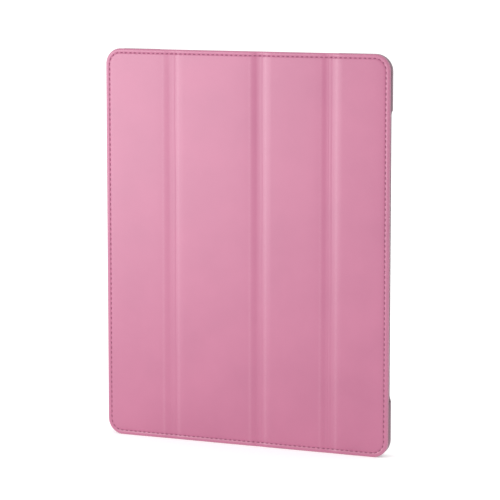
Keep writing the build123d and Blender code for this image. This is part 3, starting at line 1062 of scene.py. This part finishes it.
# Spark-eroded mould texture, 0.4 mm, drawn coarser than the real one so that it shows
frosting = add_node(tree, "ShaderNodeTexNoise", {"Vector": place, "Scale": 2500.0, "Detail": 2.0})
frosting_bump = add_node(
    tree, "ShaderNodeBump",
    {"Height": frosting.outputs["Fac"], "Strength": 0.15, "Distance": 0.05 * mm},
)
tree.links.new(frosting_bump.outputs["Normal"], shader.inputs["Normal"])
shell_mesh.materials.append(frosted_polycarbonate)
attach(moulded_shell, "case_back")
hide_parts("back_shell")

# ---- Boards ----
# Grey fibreboard, die-cut, one in each panel and a thin one in the spine. They lie loose in the
# pockets between skin and lining, so they show only at an open seam.
fibreboard, tree, shader = new_material("grey_fibreboard", Roughness=0.9, Specular_IOR_Level=0.2)
place = add_node(tree, "ShaderNodeTexCoord").outputs["Object"]
# Pulp fibres and flecks, about 1.5 mm long
flecks = add_node(tree, "ShaderNodeTexNoise", {"Vector": place, "Scale": 650.0, "Detail": 6.0})
pulp = add_node(tree, "ShaderNodeValToRGB", {"Fac": flecks.outputs["Fac"]})
pulp.color_ramp.elements[0].position, pulp.color_ramp.elements[1].position = 0.35, 0.65
pulp.color_ramp.elements[0].color = linear("6d6a66")
pulp.color_ramp.elements[1].color = linear("97938d")
tree.links.new(pulp.outputs["Color"], shader.inputs["Base Color"])
pulp_bump = add_node(
    tree, "ShaderNodeBump", {"Height": flecks.outputs["Fac"], "Strength": 0.4, "Distance": 0.1 * mm}
)
tree.links.new(pulp_bump.outputs["Normal"], shader.inputs["Normal"])


def finish_nodes(material, *names):
    """Give carried-over solids their material."""
    for name in names:
        for slot in frame["nodes"][name].material_slots:
            slot.material = material


finish_nodes(fibreboard, "panel_1_board", "panel_2_board", "panel_3_board", "panel_4_board",
             "spine_board")

# ---- Bonding tape ----
# Double-sided acrylic tape, cast on a thin film and die-cut. It holds the flap to the shell, and
# lies between them, so it shows only as a milky line at the flap's edge.
acrylic_tape, tree, shader = new_material("acrylic_tape", Roughness=0.5)
place = add_node(tree, "ShaderNodeTexCoord").outputs["Object"]
# Trapped air, in bubbles of about 3 mm
bubbles = add_node(tree, "ShaderNodeTexVoronoi", {"Vector": place, "Scale": 330.0})
milky = add_node(tree, "ShaderNodeValToRGB", {"Fac": bubbles.outputs["Distance"]})
milky.color_ramp.elements[0].color = linear("f2f1ec")
milky.color_ramp.elements[1].color = linear("dedcd4")
tree.links.new(milky.outputs["Color"], shader.inputs["Base Color"])
finish_nodes(acrylic_tape, "flap_tape")

# ---- Keeper plate ----
# A strip of rolled spring steel, 0.5 mm, that the closure magnets find when the cover is folded
# back. Rolling leaves fine lines along it.
rolled_steel, tree, shader = new_material("rolled_spring_steel", Metallic=1.0, Roughness=0.35)
place = add_node(tree, "ShaderNodeTexCoord").outputs["Object"]
# Rolling lines 0.25 mm wide and about 17 mm long, up the strip
stretched = add_node(tree, "ShaderNodeMapping", {"Vector": place, "Scale": (4000.0, 4000.0, 60.0)})
lines = add_node(tree, "ShaderNodeTexNoise", {"Vector": stretched.outputs[0], "Scale": 1.0})
steel_shade = add_node(tree, "ShaderNodeValToRGB", {"Fac": lines.outputs["Fac"]})
steel_shade.color_ramp.elements[0].color = linear("8f9093")
steel_shade.color_ramp.elements[1].color = linear("b7b8ba")
tree.links.new(steel_shade.outputs["Color"], shader.inputs["Base Color"])
finish_nodes(rolled_steel, "keeper_plate")

# ---- Magnets ----
# Sintered magnets with a bright nickel plating, three bars for the closure and a round one that
# wakes the tablet. Each sits in its own cut-out in the fourth panel's board.
nickel_plate, tree, shader = new_material("bright_nickel_plate", Metallic=1.0, Roughness=0.2)
place = add_node(tree, "ShaderNodeTexCoord").outputs["Object"]
# Scuffs from tumbling in the plating barrel, about 2 mm
scuffs = add_node(tree, "ShaderNodeTexNoise", {"Vector": place, "Scale": 500.0, "Detail": 4.0})
nickel_shade = add_node(tree, "ShaderNodeValToRGB", {"Fac": scuffs.outputs["Fac"]})
nickel_shade.color_ramp.elements[0].color = linear("a9a59c")
nickel_shade.color_ramp.elements[1].color = linear("cfccc4")
tree.links.new(nickel_shade.outputs["Color"], shader.inputs["Base Color"])
finish_nodes(nickel_plate, "closure_magnets", "wake_magnet")
